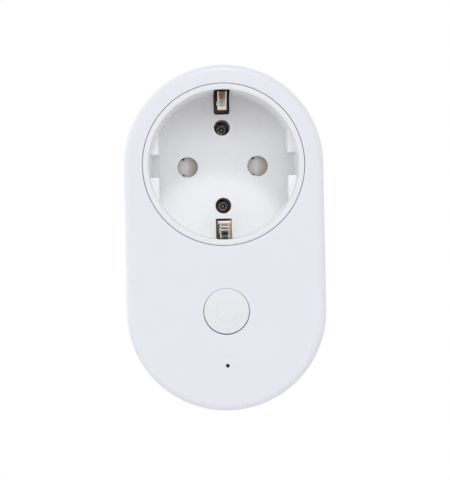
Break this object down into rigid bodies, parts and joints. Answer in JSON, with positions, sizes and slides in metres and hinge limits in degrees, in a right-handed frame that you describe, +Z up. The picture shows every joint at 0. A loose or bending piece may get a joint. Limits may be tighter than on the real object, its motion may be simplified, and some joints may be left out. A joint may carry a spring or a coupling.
{
  "type": "smart plug",
  "caption": "Smart plug with an earthed two-pin plug behind, a pass-through earthed socket with side guides in front, a round push button below it and a pin-sized indicator.",
  "frame": {"origin": "centre of the plug's end face, on the common axis of plug and socket", "axes": "+X right as seen from the front, +Z up towards the socket end, +Y into the wall along the pins"},
  "size_m": [0.0524, 0.0605, 0.0908],
  "materials": {
    "shell": "satin",
    "insert": "satin",
    "button": "satin",
    "shutter": "matte",
    "insulator": "matte",
    "nickel": "bright",
    "brass": "bright",
    "dark_steel": "satin",
    "spring_steel": "bright",
    "lens": "gloss",
    "board": "gloss",
    "black_plastic": "matte",
    "relay_case": "gloss",
    "film_case": "gloss",
    "can_sleeve": "gloss",
    "ferrite": "matte",
    "tape": "matte",
    "fuse_ceramic": "satin",
    "varistor_coat": "satin",
    "tinned_steel": "satin",
    "led": "gloss",
    "shunt_alloy": "satin"
  },
  "bodies": {
    "housing": {"front_shell": "shell", "back_cover": "shell", "socket_well": "insert", "well_screw_upper": "dark_steel", "well_screw_lower": "dark_steel", "earth_strap": "nickel", "earth_card_upper": "insulator", "earth_card_lower": "insulator", "plug_earth_contact_upper": "nickel", "plug_earth_contact_lower": "nickel", "live_pin": "nickel", "neutral_pin": "nickel", "live_receptacle": "brass", "neutral_receptacle": "brass", "live_busbar": "brass", "neutral_busbar": "brass", "load_busbar": "brass", "shutter_retainer": "insert", "shutter_spring": "spring_steel", "light_pipe": "lens", "control_board": "board", "tact_switch_body": "black_plastic", "status_led": "led", "wireless_module": "board", "shield_can": "tinned_steel", "main_board": "board", "relay": "relay_case", "film_capacitor": "film_case", "bulk_capacitor_a": "can_sleeve", "bulk_capacitor_b": "can_sleeve", "transformer_core": "ferrite", "transformer_winding": "tape", "fuse": "fuse_ceramic", "varistor": "varistor_coat", "choke": "ferrite", "bridge_rectifier": "black_plastic", "optocoupler": "black_plastic", "metering_chip": "black_plastic", "shunt_resistor": "shunt_alloy", "board_header": "black_plastic", "main_board_screw_1": "dark_steel", "main_board_screw_2": "dark_steel", "control_board_screw_1": "dark_steel", "control_board_screw_2": "dark_steel"},
    "button": {"button_cap": "button"},
    "switch_plunger": {"tact_switch_plunger": "black_plastic"},
    "shutter_slide": {"shutter": "shutter"},
    "upper_clip": {"upper_earth_clip": "nickel"},
    "lower_clip": {"lower_earth_clip": "nickel"}
  },
  "joints": [
    {"name": "button_press", "type": "slide", "parent": "housing", "child": "button", "axis": [0, 1, 0], "range_m": [0, 0.0006], "stiffness_N_per_m": 300},
    {"name": "plunger_press", "type": "slide", "parent": "housing", "child": "switch_plunger", "axis": [0, 1, 0], "range_m": [0, 0.0006]},
    {"name": "shutter_open", "type": "slide", "parent": "housing", "child": "shutter_slide", "axis": [1, 0, 0], "range_m": [0, 0.0054], "stiffness_N_per_m": 60, "springref_m": -0.002, "deforming": ["shutter_spring"]},
    {"name": "upper_clip_flex", "type": "hinge", "parent": "housing", "child": "upper_clip", "pos_m": [0, -0.0211, 0.0174], "axis": [-1, 0, 0], "range_deg": [0, 5], "stiffness_Nm_per_rad": 0.5},
    {"name": "lower_clip_flex", "type": "hinge", "parent": "housing", "child": "lower_clip", "pos_m": [0, -0.0211, -0.0174], "axis": [1, 0, 0], "range_deg": [0, 5], "stiffness_Nm_per_rad": 0.5}
  ],
  "couplings": [
    {"joint": "plunger_press", "follows": "button_press", "ratio": 1}
  ]
}
